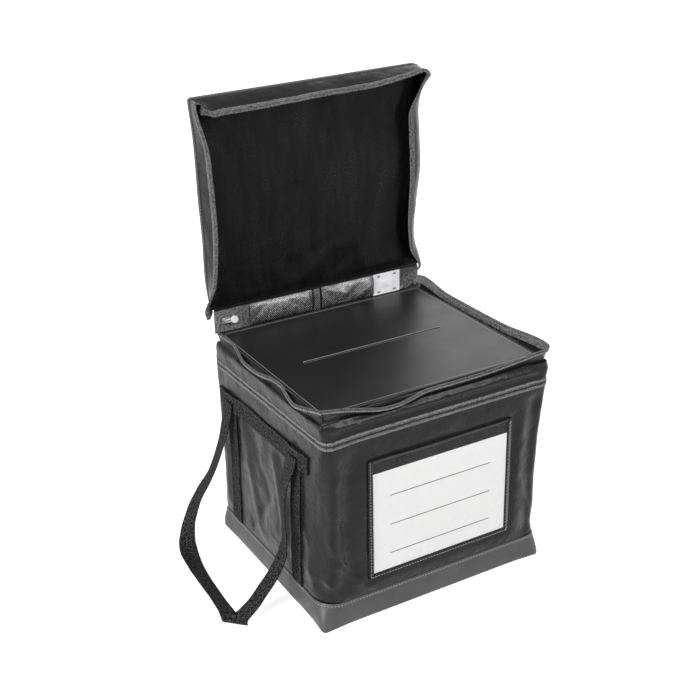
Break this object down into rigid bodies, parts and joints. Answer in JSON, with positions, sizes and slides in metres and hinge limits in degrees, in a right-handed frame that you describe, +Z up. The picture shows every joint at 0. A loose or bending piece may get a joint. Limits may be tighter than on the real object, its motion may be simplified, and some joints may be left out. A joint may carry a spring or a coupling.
{
  "type": "ballot box",
  "caption": "Soft-sided ballot box with a slotted deck under a zip-round lid, a reinforced base, webbing handles, a label window and a seal chamber.",
  "frame": {"origin": "middle of the flat underside, on the surface that the box stands on", "axes": "+X to the right along the front, +Y to the back, +Z up"},
  "size_m": [0.5069, 0.3144, 0.6422],
  "materials": {
    "coated_cloth": "matt to satin coated woven nylon",
    "boot_cloth": "smooth satin vinyl-coated cloth",
    "binding_tape": "matt woven tape",
    "stiff_board": "matt extruded sheet",
    "lining_cloth": "matt coated cloth",
    "zip_tape": "woven tape with a moulded coil",
    "window_film": "clear flexible film",
    "card": "matt white card",
    "webbing": "coarse ribbed webbing",
    "deck_board": "semi-gloss sheet",
    "glossy_weave": "shiny coated weave",
    "white_plastic": "moulded white plastic",
    "zip_metal": "plated die-cast metal"
  },
  "bodies": {
    "bag": {"base_panel": "boot_cloth", "base_board": "stiff_board", "boot_band": "boot_cloth", "boot_binding": "binding_tape", "front_wall": "coated_cloth", "back_wall": "coated_cloth", "left_wall": "coated_cloth", "right_wall": "coated_cloth", "front_board": "stiff_board", "back_board": "stiff_board", "left_board": "stiff_board", "right_board": "stiff_board", "inner_lining": "lining_cloth", "opening_zip_lower": "zip_tape", "opening_hinge_bead": "coated_cloth", "pocket_back": "coated_cloth", "pocket_frame": "coated_cloth", "window_film": "window_film", "left_webbing_front": "webbing", "left_webbing_rear": "webbing", "left_webbing_bar": "webbing", "right_webbing_front": "webbing", "right_webbing_rear": "webbing", "right_webbing_bar": "webbing"},
    "card": {"label_card": "card"},
    "top": {"collar_front": "coated_cloth", "collar_left": "coated_cloth", "collar_right": "coated_cloth", "collar_back": "coated_cloth", "opening_zip_upper": "zip_tape", "rim_zip": "zip_tape", "rim_gutter": "coated_cloth", "slot_panel": "deck_board", "panel_edging": "binding_tape", "hinge_band": "coated_cloth", "lid_hinge_bead": "coated_cloth", "zip_end_tape": "binding_tape", "end_tab": "binding_tape", "hinge_facing_left": "glossy_weave", "centre_tab": "glossy_weave", "hinge_facing_right": "glossy_weave", "right_end_tape": "binding_tape", "seal_plate": "white_plastic", "seal_chamber": "white_plastic", "seal_clips": "white_plastic"},
    "lid": {"lid_panel": "coated_cloth", "lid_skirt": "coated_cloth", "lid_board": "stiff_board", "lid_pad": "glossy_weave", "lid_seam_tape": "binding_tape", "lid_zip": "zip_tape"},
    "lid_slider": {"lid_zip_slider": "zip_metal"},
    "lid_pull": {"lid_zip_pull": "white_plastic"},
    "opening_slider": {"opening_zip_slider": "zip_metal"},
    "opening_pull": {"opening_zip_pull": "zip_metal"},
    "left_handle": {"left_handle": "webbing"},
    "right_handle": {"right_handle": "webbing"}
  },
  "joints": [
    {"name": "top_opening", "type": "hinge", "parent": "bag", "child": "top", "pos_m": [0, 0.1494, 0.268], "axis": [-1, 0, 0], "range_deg": [0, 100]},
    {"name": "lid_hinge", "type": "hinge", "parent": "top", "child": "lid", "pos_m": [0, 0.1494, 0.3404], "axis": [1, 0, 0], "range_deg": [-88, 92]},
    {"name": "lid_zip_slide", "type": "slide", "parent": "top", "child": "lid_slider", "axis": [-1, 0, 0], "range_m": [0, 0.008]},
    {"name": "lid_pull_swing", "type": "hinge", "parent": "lid_slider", "child": "lid_pull", "pos_m": [-0.15, 0.1421, 0.32468], "axis": [0, 0, -1], "range_deg": [0, 105]},
    {"name": "opening_zip_slide", "type": "slide", "parent": "bag", "child": "opening_slider", "axis": [0, -1, 0], "range_m": [0, 0.245]},
    {"name": "opening_pull_swing", "type": "hinge", "parent": "opening_slider", "child": "opening_pull", "pos_m": [0.1762, 0.124, 0.268], "axis": [0, 0, -1], "range_deg": [0, 170]},
    {"name": "left_handle_swing", "type": "hinge", "parent": "bag", "child": "left_handle", "pos_m": [-0.1753, 0.01, 0.225], "axis": [0, 1, 0], "range_deg": [0, 150]},
    {"name": "right_handle_swing", "type": "hinge", "parent": "bag", "child": "right_handle", "pos_m": [0.1753, 0.01, 0.225], "axis": [0, -1, 0], "range_deg": [0, 150]},
    {"name": "card_slide", "type": "slide", "parent": "bag", "child": "card", "axis": [0, 0, 1], "range_m": [0, 0.168]}
  ]
}
